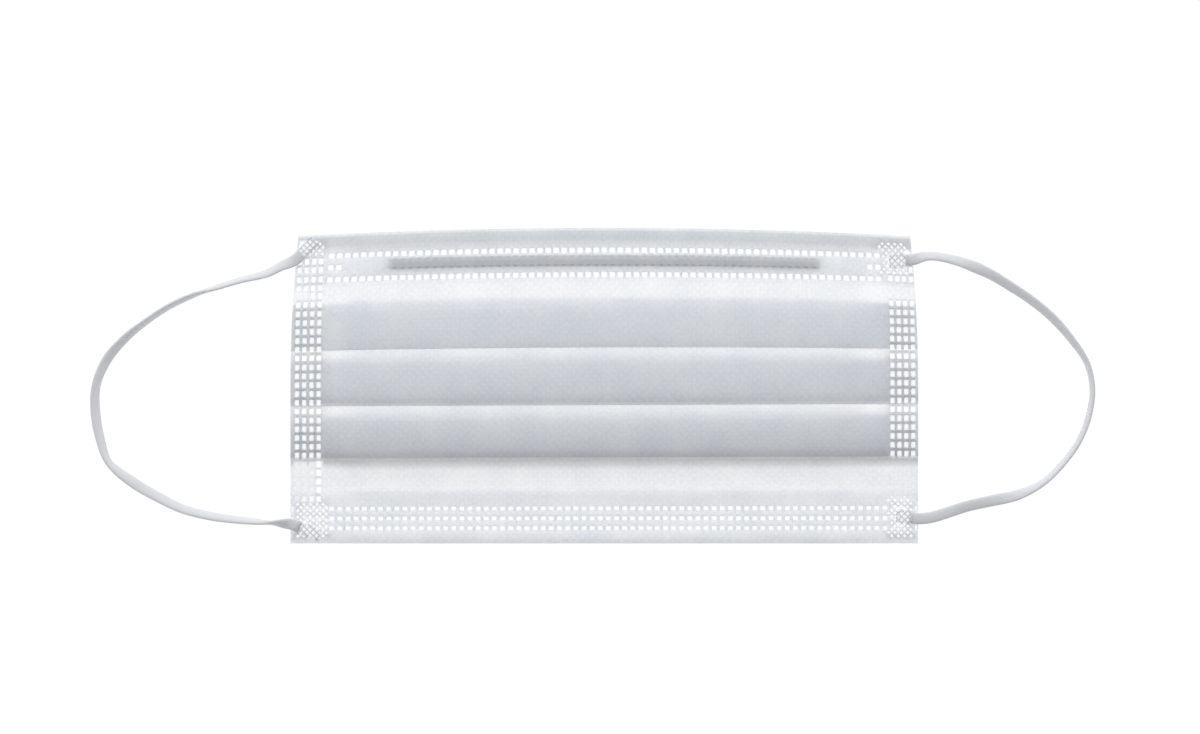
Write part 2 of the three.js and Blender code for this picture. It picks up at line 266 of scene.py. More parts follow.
def nonwoven_material(wire_edges):
    """wire_edges are how far along the flat cloth the wire's lower and upper edges are, where painted shadow
    lines mark them.
    """
    nodes = Nodes("nonwoven")
    x, y, flat = nodes.flat()
    film = nodes.ramp(nodes.attribute("film"), 0.05, 0.4)
    shade = nodes.attribute("shade")
    thin = nodes.attribute("thin")
    # Fibres: soft clouds, finer grain, and small bonded points in staggered rows.
    clouds = nodes.noise(flat, 0.11, 4.0, 0.6)
    grain = nodes.noise(flat, 1.1, 3.0, 0.6)
    row = nodes.math("DIVIDE", y, 1.1)
    odd = nodes.math("MULTIPLY", nodes.math("FLOORED_MODULO", nodes.math("FLOOR", row), 2.0), 0.5)
    column = nodes.math("ADD", nodes.math("DIVIDE", x, 2.4), odd)
    across = nodes.math("ABSOLUTE", nodes.math("SUBTRACT", nodes.math("FRACT", column), 0.5))
    up = nodes.math("ABSOLUTE", nodes.math("SUBTRACT", nodes.math("FRACT", row), 0.5))
    distance = nodes.math(
        "ADD", nodes.math("MULTIPLY", across, 2.4), nodes.math("MULTIPLY", up, 1.1)
    )
    point = nodes.ramp(distance, 0.28, 0.62, 1.0, 0.0)
    fibre = nodes.math("ADD", nodes.math("MULTIPLY", clouds, 0.35), nodes.math("MULTIPLY", grain, 0.65))
    tone = nodes.math("ADD", nodes.ramp(fibre, 0.34, 0.68), nodes.math("MULTIPLY", point, 0.7), clamp=True)
    cloth = nodes.mix_colour(tone, (0.92, 0.935, 0.957, 1), (0.998, 1.0, 1.0, 1))
    # Painted shadow: the wire's edges show as thin dark lines, broken at the pitch of the weld dots.
    step = nodes.math("FRACT", nodes.math("DIVIDE", x, NOSE_DOT_PITCH))
    dash = nodes.ramp(nodes.math("ABSOLUTE", nodes.math("SUBTRACT", step, 0.5)), 0.2, 0.34)
    beside = nodes.ramp(nodes.math("ABSOLUTE", x), WIRE_REACH - 0.4, WIRE_REACH, 1.0, 0.0)
    wire_shadow = 0.0
    for edge, steady, broken in zip(wire_edges, (0.09, 0.0), (0.15, 0.09)):
        near = nodes.ramp(nodes.math("ABSOLUTE", nodes.math("SUBTRACT", y, edge)), 0.1, 0.34, 1.0, 0.0)
        strength = nodes.math("ADD", nodes.math("MULTIPLY", dash, broken), steady)
        wire_shadow = nodes.math("ADD", nodes.math("MULTIPLY", near, strength), wire_shadow)
    # Painted shade and painted shadow: the shade attribute and the wire's edge lines darken the cloth's
    # colour.
    lightness = nodes.math("SUBTRACT", shade, nodes.math("MULTIPLY", wire_shadow, beside))
    dark = nodes.mix_colour(lightness, (0, 0, 0, 1), cloth)
    colour = nodes.mix_colour(film, dark, (0.995, 0.998, 1.0, 1))
    sheer = nodes.mix_colour(thin, (0.80, 0.80, 0.80, 1), (0.93, 0.93, 0.93, 1))
    through = nodes.mix_colour(film, sheer, (1.0, 1.0, 1.0, 1))
    height = nodes.math("ADD", nodes.math("MULTIPLY", grain, 0.6), nodes.math("MULTIPLY", point, -0.5))
    bump = nodes.add("ShaderNodeBump", {"Height": height, "Distance": 0.00012, "Strength": 0.6})
    return nodes.finish(cloth_shader(nodes, colour, through, bump.outputs[0]))


def elastic_material():
    nodes = Nodes("elastic")
    x, y, flat = nodes.flat()
    film = nodes.attribute("film")
    line = nodes.attribute("line")
    # Knitted elastic: ribs along its length, crossed by the slanting stitches of the knit.
    rib = nodes.math("SINE", nodes.math("MULTIPLY", x, 2 * math.pi / 0.55))
    slant = nodes.math("ADD", nodes.math("MULTIPLY", y, 2 * math.pi / 0.5), nodes.math("MULTIPLY", rib, 1.1))
    stitch = nodes.math("SINE", slant)
    grain = nodes.noise(flat, 2.2, 2.0, 0.6)
    knit = nodes.math("ADD", nodes.math("MULTIPLY", rib, 0.6), nodes.math("MULTIPLY", stitch, 0.4))
    tone = nodes.math("ADD", nodes.math("MULTIPLY", knit, 0.12), grain, clamp=True)
    thread = nodes.mix_colour(tone, (0.86, 0.87, 0.89, 1), (0.915, 0.925, 0.945, 1))
    fused = nodes.mix_colour(film, thread, (0.995, 0.998, 1.0, 1))
    colour = nodes.mix_colour(line, fused, (0.78, 0.79, 0.81, 1))
    through = nodes.mix_colour(film, (0.25, 0.25, 0.25, 1), (1.0, 1.0, 1.0, 1))
    bump = nodes.add("ShaderNodeBump", {"Height": knit, "Distance": 0.00008, "Strength": 0.12})
    return nodes.finish(cloth_shader(nodes, colour, through, bump.outputs[0], 0.8))


def wire_material():
    nodes = Nodes("nose_wire")
    place = nodes.add("ShaderNodeTexCoord").outputs["Object"]
    cloud = nodes.noise(place, 300, 3.0, 0.6)
    colour = nodes.mix_colour(cloud, (0.84, 0.85, 0.87, 1), (0.93, 0.94, 0.95, 1))
    roughness = nodes.ramp(cloud, 0.2, 0.8, 0.42, 0.58)
    bump = nodes.add("ShaderNodeBump", {"Height": cloud, "Distance": 0.00005, "Strength": 0.4})
    plastic = nodes.add(
        "ShaderNodeBsdfPrincipled",
        {"Base Color": colour, "Roughness": roughness, "Normal": bump.outputs[0]},
    )
    return nodes.finish(plastic.outputs[0])


# The ear loops

def catmull_rom(points, step):
    """Points along a centripetal Catmull-Rom curve through rows of numbers, about a step apart."""
    rows = [2 * points[0] - points[1], *points, 2 * points[-1] - points[-2]]
    found = []
    for p0, p1, p2, p3 in zip(rows, rows[1:], rows[2:], rows[3:]):
        knots = [0.0]
        for a, b in ((p0, p1), (p1, p2), (p2, p3)):
            knots.append(knots[-1] + max(np.linalg.norm((b - a)[:2]) ** 0.5, 1e-4))
        t0, t1, t2, t3 = knots
        count = max(2, round(np.linalg.norm((p2 - p1)[:2]) / step))
        for t in np.linspace(t1, t2, count, endpoint=False):
            a1 = (t1 - t) / (t1 - t0) * p0 + (t - t0) / (t1 - t0) * p1
            a2 = (t2 - t) / (t2 - t1) * p1 + (t - t1) / (t2 - t1) * p2
            a3 = (t3 - t) / (t3 - t2) * p2 + (t - t2) / (t3 - t2) * p3
            b1 = (t2 - t) / (t2 - t0) * a1 + (t - t0) / (t2 - t0) * a2
            b2 = (t3 - t) / (t3 - t1) * a2 + (t - t1) / (t3 - t1) * a3
            found.append((t2 - t) / (t2 - t1) * b1 + (t - t1) / (t2 - t1) * b2)
    return np.array([*found, points[-1]])


def turned(seen_width):
    """How far the flat elastic is turned on its edge, in radians, where it looks this wide."""
    share = (seen_width**2 - LOOP_THICKNESS**2) / (LOOP_WIDTH**2 - LOOP_THICKNESS**2)
    return math.copysign(math.acos(math.sqrt(min(1.0, max(0.0, share)))), seen_width)


def inwards(weld):
    angle = math.radians(weld["angle"])
    return np.array([math.cos(angle), math.sin(angle)])


def ear_loop(side):
    sign = SIDES[side]
    ends = [WELDS[side, "nose"], WELDS[side, "chin"]]
    starts = [np.array(weld["start"]) for weld in ends]
    leads = [start - inwards(weld) * LOOP_LEAD for start, weld in zip(starts, ends)]
    flat = turned(LOOP_WIDTH)
    rows = [(*starts[0], flat), (*leads[0], flat)]
    rows += [(sign * (HALF_WIDTH + out), y, turned(width)) for out, y, width in LOOP_ROUTES[side]]
    rows += [(*leads[1], flat), (*starts[1], flat)]
    rows = np.array(rows, float)
    rows[:, 2] = np.unwrap(rows[:, 2], period=math.pi)  # both faces are alike, so it turns the short way
    line = catmull_rom(list(rows), 1.0)
    plan, turn = line[:, :2], line[:, 2]
    from_weld = np.min([np.linalg.norm(plan - start, axis=1) for start in starts], axis=0)
    floor = WELD_FLOOR * (1 - smooth((from_weld - LOOP_OVERHANG) / LOOP_DROP))
    half_wide, half_thick = LOOP_WIDTH / 2, LOOP_THICKNESS / 2
    rise = np.hypot(half_wide * np.sin(turn), half_thick * np.cos(turn))
    centres = np.column_stack([plan, floor + rise])
    along = np.gradient(centres, axis=0)
    along /= np.linalg.norm(along, axis=1)[:, None]
    level = np.cross(along, [0, 0, 1])
    level /= np.linalg.norm(level, axis=1)[:, None]
    up = np.cross(level, along)
    sides = 20
    angles = np.arange(sides) / sides * 2 * math.pi
    # Flat elastic with rounded edges: a fuller section than an ellipse.
    fuller = 0.9
    wide = half_wide * np.sign(np.cos(angles)) * np.abs(np.cos(angles)) ** fuller
    thick = half_thick * np.sign(np.sin(angles)) * np.abs(np.sin(angles)) ** fuller
    wide_way = level * np.cos(turn)[:, None] + up * np.sin(turn)[:, None]
    thick_way = -level * np.sin(turn)[:, None] + up * np.cos(turn)[:, None]
    points = (
        centres[:, None]
        + wide_way[:, None] * wide[None, :, None]
        + thick_way[:, None] * thick[None, :, None]
    ).reshape(-1, 3)
    points[:, 2] = np.maximum(points[:, 2], 0.0)
    faces = []
    for i in range(len(centres) - 1):
        for j in range(sides):
            a, b = i * sides + j, i * sides + (j + 1) % sides
            faces.append((a, b, b + sides, a + sides))
    last = (len(centres) - 1) * sides
    faces.append(tuple(reversed(range(sides))))
    faces.append(tuple(last + j for j in range(sides)))
    obj = new_object(f"ear_loop_{side}_elastic", points, faces)
    travelled = np.concatenate([[0], np.cumsum(np.linalg.norm(np.diff(centres, axis=0), axis=1))])
    uv = [(wide[j], travelled[i]) for i in range(len(centres)) for j in range(sides)]
    set_uv(obj, uv)
    obj.data.materials.append(elastic)
    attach(obj, "root")
    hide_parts(f"ear_loop_{side}")
    return obj, centres * MM, travelled[-1] * MM


def loop_weld(side, edge):
    """The end of a loop, flattened and pressed onto the sheet with crossed lines."""
    weld = WELDS[side, edge]
    along = inwards(weld)
    across = np.array([-along[1], along[0]])
    start = np.array(weld["start"])
    long, half = weld["length"], weld["width"] / 2
    step = 0.13
    rows = np.linspace(-0.3, long, round((long + 0.3) / step))
    columns = np.linspace(-1, 1, round(2 * half / step))
    top, low, uv, film, line = [], [], [], [], []
    for t in rows:
        pressed = smooth((t + 0.1) / 0.7)
        widened = LOOP_WIDTH / 2 + (half - LOOP_WIDTH / 2) * pressed
        for v in columns:
            w = v * widened * (1 - 0.06 * smooth((t - long + 0.6) / 0.6))
            plan = start + along * t + across * w
            u1 = (plan[0] + plan[1]) / math.sqrt(2) / LATTICE
            u2 = (plan[0] - plan[1]) / math.sqrt(2) / LATTICE
            to_line = min(abs(u1 - round(u1)), abs(u2 - round(u2))) * LATTICE
            ridge = 1 - smooth((to_line - 0.04) / 0.17)
            rounded = math.sqrt(max(0.0, 1 - abs(v) ** 4))
            free = (LOOP_THICKNESS - 0.05) * rounded
            knurled = 0.3 + 0.35 * ridge
            edge_fade = rounded if abs(v) > 0.8 else 1.0
            height = free * (1 - pressed) + knurled * pressed * edge_fade
            top.append((*plan, WELD_FLOOR + 0.05 + height))
            low.append((*plan, WELD_FLOOR))
            uv.append((w, t))
            film.append(pressed)
            line.append(pressed * ridge)
    wide = len(columns)
    count = len(top)
    faces = []
    for i in range(len(rows) - 1):
        for j in range(wide - 1):
            a = i * wide + j
            faces.append((a, a + wide, a + wide + 1, a + 1))
            faces.append((count + a, count + a + 1, count + a + wide + 1, count + a + wide))
    rim = [j for j in range(wide)]
    rim += [i * wide + wide - 1 for i in range(1, len(rows))]
    rim += [(len(rows) - 1) * wide + j for j in range(wide - 2, -1, -1)]
    rim += [i * wide for i in range(len(rows) - 2, 0, -1)]
    for a, b in zip(rim, rim[1:] + rim[:1]):
        faces.append((a, b, count + b, count + a))
    obj = new_object(f"loop_end_{edge}_{side}", top + low, faces)
    set_uv(obj, uv * 2)
    set_attribute(obj, "film", film * 2)
    set_attribute(obj, "line", line * 2)
    obj.data.materials.append(elastic)
    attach(obj, "root")
    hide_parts(f"loop_weld_{edge}_{side}")
    return obj


elastic = elastic_material()
for side in SIDES:
    loop, path, long = ear_loop(side)
    ends = [loop_weld(side, edge) for edge in ("nose", "chin")]


# The folded sheet

def fold_arc(y, z, side, turn):
    """A half circle from one layer to another: side 1 faces the nose edge, and turn 1 climbs."""
    angles = np.linspace(-math.pi / 2, math.pi / 2, FOLD_STEPS + 1)
    return [
        (y + side * FOLD_RADIUS * math.cos(a * turn), z + FOLD_RADIUS * math.sin(a * turn))
        for a in angles
    ]


def climb(y0, z0, y1, z1, steps=5):
    """A soft slope from one height to another."""
    shares = np.linspace(0, 1, steps + 1)
    return [(y0 + (y1 - y0) * t, z0 + (z1 - z0) * float(smooth(t))) for t in shares]


def section():
    """The sheet's middle line across the pleats: layers and folds by turns, each a list of y and z."""
    lower, upper = (GROUND + SECOND) / 2, (SECOND + THIRD) / 2
    nose_flap_end, chin_flap_end = NOSE_Y - NOSE_HEM, CHIN_Y + CHIN_HEM
    bulge = [WIRE_Y + offset for offset in (2.0, 1.65, 1.3, 1.15, 0, -1.15, -1.3, -1.65, -2.0)]
    parts = [[(nose_flap_end, GROUND), *((y, GROUND) for y in reversed(bulge)), (NOSE_Y - FOLD_INSET, GROUND)]]
    parts.append(fold_arc(NOSE_Y - FOLD_INSET, lower, 1, 1))
    layer = [(NOSE_Y - FOLD_INSET, SECOND), *((y, SECOND) for y in bulge)]
    layer += climb(nose_flap_end + 0.2, SECOND, hidden_fold(0) + 1.0, SECOND)
    layer += climb(hidden_fold(0) + 1.0, SECOND, hidden_fold(0) - 2.6, THIRD)
    for i in range(PLEAT_COUNT):
        layer.append((pleat_edge(i) + FOLD_INSET, THIRD))
        parts.append(layer)
        parts.append(fold_arc(pleat_edge(i) + FOLD_INSET, upper, -1, -1))
        parts.append([(pleat_edge(i) + FOLD_INSET, SECOND), (hidden_fold(i) - FOLD_INSET, SECOND)])
        parts.append(fold_arc(hidden_fold(i) - FOLD_INSET, lower, 1, -1))
        layer = [(hidden_fold(i) - FOLD_INSET, GROUND)]
        if i + 1 < PLEAT_COUNT:
            layer += climb(pleat_edge(i) + 2.5, GROUND, hidden_fold(i + 1) - 1.5, THIRD, 9)
    layer += climb(chin_flap_end + HEM_RAMP, GROUND, chin_flap_end, SECOND)
    layer.append((CHIN_Y + FOLD_INSET, SECOND))
    parts.append(layer)
    parts.append(fold_arc(CHIN_Y + FOLD_INSET, lower, -1, -1))
    parts.append([(CHIN_Y + FOLD_INSET, GROUND), (chin_flap_end, GROUND)])
    return parts


class Section:
    """The middle line as one run of points, with how far along the flat cloth each is."""

    def __init__(self):
        parts = section()
        line, kinds = [], []
        for number, part in enumerate(parts):
            for point in part:
                if line and math.dist(line[-1], point) < 1e-6:
                    continue
                line.append(point)
                kinds.append(number)
        self.line = np.array(line)
        steps = np.linalg.norm(np.diff(self.line, axis=0), axis=1)
        self.along = np.concatenate([[0], np.cumsum(steps)])
        ways = np.diff(self.line, axis=0) / steps[:, None]
        before = np.vstack([ways[:1], ways])
        after = np.vstack([ways, ways[-1:]])
        way = before + after
        way /= np.linalg.norm(way, axis=1)[:, None]
        # The outer face is on the left of the way from the nose flap to the chin flap, seen from +X.
        self.out = np.column_stack([way[:, 1], -way[:, 0]])
        self.length = self.along[-1]
        self.layers = []
        for number in range(0, len(parts), 2):
            ends = [parts[number][0], parts[number][-1]]
            marks = [int(np.argmin(np.linalg.norm(self.line - end, axis=1))) for end in ends]
            self.layers.append((min(marks), max(marks)))

    def at(self, s):
        y = np.interp(s, self.along, self.line[:, 0])
        z = np.interp(s, self.along, self.line[:, 1])
        out_y = np.interp(s, self.along, self.out[:, 0])
        out_z = np.interp(s, self.along, self.out[:, 1])
        return y, z, out_y, out_z

    def find(self, layer, y):
        """How far along the flat cloth a layer is at y, or None where the layer isn't there."""
        first, last = self.layers[layer]
        ys, along = self.line[first : last + 1, 0], self.along[first : last + 1]
        if ys[0] > ys[-1]:
            ys, along = ys[::-1], along[::-1]
        if y.min() < ys[0] + 0.05 or y.max() > ys[-1] - 0.05:
            return None
        return np.interp(y, ys, along)

    def stretches(self, low, high):
        """The stretches of the flat cloth that lie between two heights of the layout, folds included."""
        along = np.arange(0, self.length, 0.02)
        y = np.interp(along, self.along, self.line[:, 0])
        inside = np.concatenate([[False], (y > low) & (y < high), [False]])
        marks = np.flatnonzero(inside[1:] != inside[:-1])
        return [(along[a], along[b - 1]) for a, b in zip(marks[::2], marks[1::2])]


def rounded_box(x, y, width, height):
    """Eight points round a weld dot."""
    a, b = width / 2, height / 2
    cut = 0.15 * min(width, height)
    corners = [
        (a, -b + cut), (a, b - cut), (a - cut, b), (-a + cut, b),
        (-a, b - cut), (-a, -b + cut), (-a + cut, -b), (a - cut, -b),
    ]
    return np.array(corners) + (x, y)


# Corner patches of crossed lines: their x and y ranges on the straight layout, outwards from the middle.
PATCHES = [
    (-1, 79.9, 85.6, 34.6, 40.5),
    (1, 78.2, 86.4, 30.6, 39.5),
    (-1, 77.4, 85.6, -43.2, -32.2),
    (1, 78.6, 85.9, -42.0, -30.3),
]


def in_patch(x, y, margin=0.0):
    for sign, near, far, low, high in PATCHES:
        if near - margin < sign * x < far + margin and low - margin < y < high + margin:
            return True
    return False


def row_dots():
    """Every weld dot: x, y, width, height, how far it is fused, and 1 where the cloth above and below
    it is pressed denser and gets painted shade."""
    dots = []
    for distance in NOSE_ROWS:
        y = NOSE_Y - distance
        dots += [(i * NOSE_DOT_PITCH, y, *NOSE_DOT, 1.0, 0) for i in range(-34, 35)]
    for i in (-34, -33, 33, 34):
        dots.append((i * NOSE_DOT_PITCH, NOSE_Y - 9.15, *NOSE_DOT, 1.0, 0))
    for distance in CHIN_ROWS:
        y = CHIN_Y + distance
        dots += [((i + 0.5) * CHIN_DOT_PITCH, y, *CHIN_DOT, 1.0, 0) for i in range(-37, 37)]
        dots += [(sign * (HALF_WIDTH - 0.42), y, 0.8, CHIN_DOT[1], 0.9, 0) for sign in (-1, 1)]
    for sign, columns in BAND_COLUMNS.items():
        for column, out in enumerate(columns):
            for y in BAND_ROWS:
                fused = band_fusion(sign, column, y)
                if fused:
                    x = out + 0.35 * max(0.0, y / BAND_ROWS[4]) ** 2
                    dots.append((sign * x, y, *BAND_DOT, fused, int(fused == 1.0)))
    return dots


def band_fusion(sign, column, y):
    """How far a dot of a side band is fused: fully where layers meet, and hardly in a single one."""
    if y < CHIN_Y + CHIN_HEM:
        return LAST_LEFT[column] if sign < 0 else FAINT
    if y > NOSE_Y - NOSE_HEM + 0.6 * sign:
        return 1.0
    if y > hidden_fold(0) + 1:
        return SINGLE_LEFT[column] if sign < 0 else FAINT
    if y > pleat_edge(2):
        return 1.0
    if sign < 0:
        return 1.0 if column == 0 else FAINT
    return 0.0


def lattice_cells():
    """The middles of the corner patches' diamonds."""
    middles = []
    for sign, near, far, low, high in PATCHES:
        for i in range(-110, 111):
            for j in range(-110, 111):
                u, v = (i + 0.5) * LATTICE, (j + 0.5) * LATTICE
                x, y = (u + v) / math.sqrt(2), (u - v) / math.sqrt(2)
                if near < sign * x < far and low < y < high:
                    middles.append((x, y))
    return middles


def diamond(x, y, half):
    """The corners of a square that stands on a corner."""
    reach = half * math.sqrt(2)
    return np.array([(x + reach, y), (x, y + reach), (x - reach, y), (x, y - reach)])


def height_share(x, y):
    """The share of their free height that the layers have at a point of the straight layout."""
    inside = HALF_WIDTH - SIDE_WELD_WIDTH - np.abs(x)
    share = BAND_PRESS + (1 - BAND_PRESS) * smooth(inside / WELD_FADE)
    for distance in NOSE_ROWS:
        pressed = 0.3 * (1 - smooth((np.abs(y - NOSE_Y + distance) - 0.8) / 0.9))
        share = np.minimum(share, 1 - pressed)
    middle = CHIN_Y + CHIN_ROWS[1]
    share = np.minimum(share, 1 - 0.45 * (1 - smooth((np.abs(y - middle) - 3.4) / 2.4)))
    # The free cloth isn't quite flat.
    free = smooth(inside / WELD_FADE)
    wave = np.sin(x * 0.083 + 1.3) * np.sin(y * 0.11 + x * 0.021) + 0.5 * np.sin(x * 0.19 - y * 0.13 + 2.0)
    return share * (1 + 0.035 * wave * free)


def under_loop(x, y):
    """Whether a point of the straight layout lies under the welded end of a loop."""
    place = np.array(drape(x, y))
    for weld in WELDS.values():
        way = inwards(weld)
        off = place - weld["start"]
        if 0 < off @ way < weld["length"] and abs(off @ (-way[1], way[0])) < weld["width"] / 2:
            return True
    return False


def sheet_points(cut):
    """The points of the flat cloth, with how far each is fused and how much painted shade it gets, and the
    mesh's fixed edges.

    Each weld dot goes through every layer and fold that lies there. The last list has the dots' boxes on
    the flat cloth: the least and most x, the least and most length along it, and how far it is fused.
    """
    points, values, edges, boxes = [], [], [], []

    def add_ring(ring, fused, painted_shade_weight=0):
        first = len(points)
        points.extend(ring)
        # In a ring of eight, these four points are above and below the dot and get the painted shade. A
        # diamond gets it all round.
        values.extend((fused, painted_shade_weight * (len(ring) < 8 or i % 4 > 1)) for i in range(len(ring)))
        edges.extend((first + i, first + (i + 1) % len(ring)) for i in range(len(ring)))

    dots = row_dots()
    limit = HALF_WIDTH - 0.12
    for x, y, width, height, value, painted_shade_weight in dots:
        if in_patch(x, y):
            continue
        inner_stretches = cut.stretches(y - height / 2, y + height / 2)
        for low, high in cut.stretches(y - height / 2 - DOT_RIM, y + height / 2 + DOT_RIM):
            inside = [(a, b) for a, b in inner_stretches if low < a and b < high and b - a > 0.3]
            if not inside:
                continue
            outer = rounded_box(x, (low + high) / 2, width + 2 * DOT_RIM, high - low)
            outer[:, 0] = np.clip(outer[:, 0], -limit, limit)
            add_ring(outer, 0.0, painted_shade_weight)
            for a, b in inside:
                inner = rounded_box(x, (a + b) / 2, width, b - a)
                inner[:, 0] = np.clip(inner[:, 0], -limit + 0.1, limit - 0.1)
                add_ring(inner, value)
                boxes.append((*inner.min(0), *inner.max(0), value))
    for x, y in lattice_cells():
        beside = [d for d in dots if abs(x - d[0]) < d[2] / 2 + 0.5 and abs(y - d[1]) < d[3] / 2 + 0.5]
        if any(not in_patch(d[0], d[1]) for d in beside):
            continue
        between_cells = 1.0 if under_loop(x, y) else MERGED * any(beside)
        for layer in range(len(cut.layers)):
            rings = ((CELL_HALF + CELL_RIM, between_cells, LINE_SHADE_WEIGHT), (CELL_HALF, 1.0, 0))
            for half, fused, painted_shade_weight in rings:
                ring = diamond(x, y, half)
                along = cut.find(layer, ring[:, 1])
                if along is None:
                    break
                add_ring(np.column_stack([ring[:, 0], along]), fused, painted_shade_weight)
    return points, values, edges, np.array(boxes)


def build_sheet():
    cut = Section()
    points, values, edges, boxes = sheet_points(cut)
    stations = np.concatenate([
        np.linspace(0, 66, 20), np.linspace(66, 78, 5)[1:], np.linspace(78, HALF_WIDTH, 5)[1:],
    ])
    stations = np.unique(np.concatenate([-stations, stations]))
    rows = [cut.along[0]]
    for a, b in zip(cut.along, cut.along[1:]):
        pieces = max(1, math.ceil((b - a) / 2.6))
        rows += [a + (b - a) * k / pieces for k in range(1, pieces + 1)]
    rows = np.array(rows)
    row_y = cut.at(rows)[0]
    row_layer = [
        next((k for k, (a, b) in enumerate(cut.layers) if cut.along[a] <= s <= cut.along[b]), -1) for s in rows
    ]
    margin = DOT_RIM + 0.1
    ends = np.array([cut.along[wire_shadow] for marks in cut.layers for wire_shadow in marks])
    for s, y, layer in zip(rows, row_y, row_layer):
        # The rows of the folds and the layers' ends stay whole, so that the folds keep their shape.
        whole = layer < 0 or np.abs(ends - s).min() < 1e-6
        blocked = boxes[(boxes[:, 1] - margin < s) & (boxes[:, 3] + margin > s)]
        before = None
        for x in stations:
            if abs(x) < HALF_WIDTH - 1e-6:
                if not whole and in_patch(x, y, 0.7):
                    before = None
                    continue
                if ((blocked[:, 0] - margin < x) & (blocked[:, 2] + margin > x)).any():
                    continue
            points.append((x, s))
            values.append((0.0, 0))
            if before is not None:
                crossed = ((blocked[:, 0] - margin < x) & (blocked[:, 2] + margin > before)).any()
                if whole or not crossed:
                    edges.append((len(points) - 2, len(points) - 1))
            before = x
    outline, _, triangles, found, _, _ = delaunay_2d_cdt(
        [Vector(p) for p in points], edges, [], 0, 1e-5
    )
    flat = np.array([tuple(p) for p in outline])
    film, painted_shade_weight = np.zeros(len(flat)), np.zeros(len(flat))
    for i, origins in enumerate(found):
        if origins:
            film[i] = max(values[k][0] for k in origins)
            painted_shade_weight[i] = max(values[k][1] for k in origins)
        else:  # where a fold's row crosses the side of a dot
            x, s = flat[i]
            near = boxes[(abs(boxes[:, 1] + boxes[:, 3] - 2 * s) < boxes[:, 3] - boxes[:, 1] + 1e-3)]
            near = near[(near[:, 0] - 1e-3 < x) & (x < near[:, 2] + 1e-3)]
            film[i] = near[:, 4].max(initial=0.0)
    return cut, flat, film, painted_shade_weight, np.array(triangles)


def between(y, low, high, soft=0.4):
    return smooth((y - low) / soft + 0.5) * (1 - smooth((y - high) / soft + 0.5))


def thinness(x, y):
    """Where the cloth is pressed thinner and lets more light through: hems, single layers and beside the wire,
    less where single layers cross the side bands, and not over the wire.
    """
    thin = 0.8 * between(y, NOSE_Y - NOSE_HEM, NOSE_Y - 3.8)
    thin = np.maximum(thin, 0.7 * between(y, CHIN_Y + 3.0, CHIN_Y + CHIN_HEM))
    thin = np.maximum(thin, between(y, hidden_fold(0) + 0.3, NOSE_Y - NOSE_HEM))
    in_band = smooth((np.abs(x) - HALF_WIDTH + SIDE_WELD_WIDTH) / 0.6 + 0.5)
    for i in range(PLEAT_COUNT - 1):
        thin = np.maximum(thin, between(y, hidden_fold(i + 1) - 0.3, pleat_edge(i)) * (1 - 0.7 * in_band))
    thin = np.maximum(thin, between(np.abs(y - WIRE_Y), 1.3, 2.4))
    wire = between(np.abs(y - WIRE_Y), -9, 1.2, 0.15) * (np.abs(x) < WIRE_REACH)
    return thin * (1 - wire)


def outer_shade(x, y, painted_shade_weight, layer_top):
    """How light the outer face is: painted shade for the light from the table below that more layers and
    denser cloth hold back, in the side bands, over the wire, along the hems' rims, down each pleat's panel and
    beside its edge; 1 on the layers that lie face down.
    """
    shade = 1 - 0.13 * painted_shade_weight
    in_band = smooth((np.abs(x) - HALF_WIDTH + SIDE_WELD_WIDTH) / 0.6 + 0.5)
    # Painted shade in the side bands and on the lowest panel.
    shade -= 0.04 * in_band * between(y, pleat_edge(PLEAT_COUNT - 1), hidden_fold(0))
    shade -= 0.02 * between(y, CHIN_Y + CHIN_HEM, pleat_edge(PLEAT_COUNT - 1))
    over_wire = between(np.abs(y - WIRE_Y), -9, 1.22, 0.15) * (np.abs(x) < WIRE_REACH)
    # Painted shadow of the nose wire, which holds back the light from below.
    shade -= 0.07 * over_wire
    # Painted shade along the hems' rims.
    shade -= 0.13 * smooth((y - (NOSE_Y - 3.8)) / 0.5)
    shade -= 0.08 * smooth(((CHIN_Y + 3.0) - y) / 0.5)
    # Painted shade in the side bands' strips between the pleats.
    for i in range(PLEAT_COUNT - 1):
        shade -= 0.07 * in_band * between(y, hidden_fold(i + 1) - 0.3, pleat_edge(i) - 0.8)
    # Painted shade down each pleat's panel and beside its edge.
    for i in range(PLEAT_COUNT):
        below = (y - pleat_edge(i)) / PLEAT_DEPTH
        on_panel = (below > -0.02) & (below < 1.0)
        shade -= np.where(on_panel, (0.03, 0.08, 0.16)[i] * (1 - below), 0)
        shade -= np.where(on_panel, (0.1, 0.08, 0.14)[i] * smooth((0.2 - below) / 0.2), 0)
    return np.where(layer_top, shade, 1.0)


cut, flat, film, painted_shade_weight, triangles = build_sheet()
x, s = flat[:, 0], flat[:, 1]
y, z, out_y, out_z = cut.at(s)
share = height_share(x, y)
share = share * (1 - film) + np.minimum(share, CELL_PRESS) * film
along_wire = smooth((WIRE_REACH + 6 - np.abs(x)) / 6)
across_wire = smooth((WIRE_CHANNEL + 0.5 - np.abs(y - WIRE_Y)) / 0.7)
in_nose_hem = s < cut.along[cut.layers[1][1]]
in_flap = s <= cut.along[cut.layers[0][1]]
lift = np.where(in_flap, FLAP_LIFT, OUTER_LIFT) * along_wire * across_wire * in_nose_hem
faces_of_sheet = []
for sign in (1, -1):
    yy = y + sign * out_y * CLOTH / 2
    zz = (z + lift + sign * out_z * CLOTH / 2) * share
    plan_x, plan_y = drape(x, yy)
    faces_of_sheet.append(np.column_stack([plan_x, plan_y, np.maximum(zz, 0.0)]))
count = len(flat)
upward = np.array(triangles)
edge_uses = {}
for a, b, c in upward.tolist():
    for edge in ((a, b), (b, c), (c, a)):
        edge_uses[edge] = edge_uses.get(edge, 0) + 1
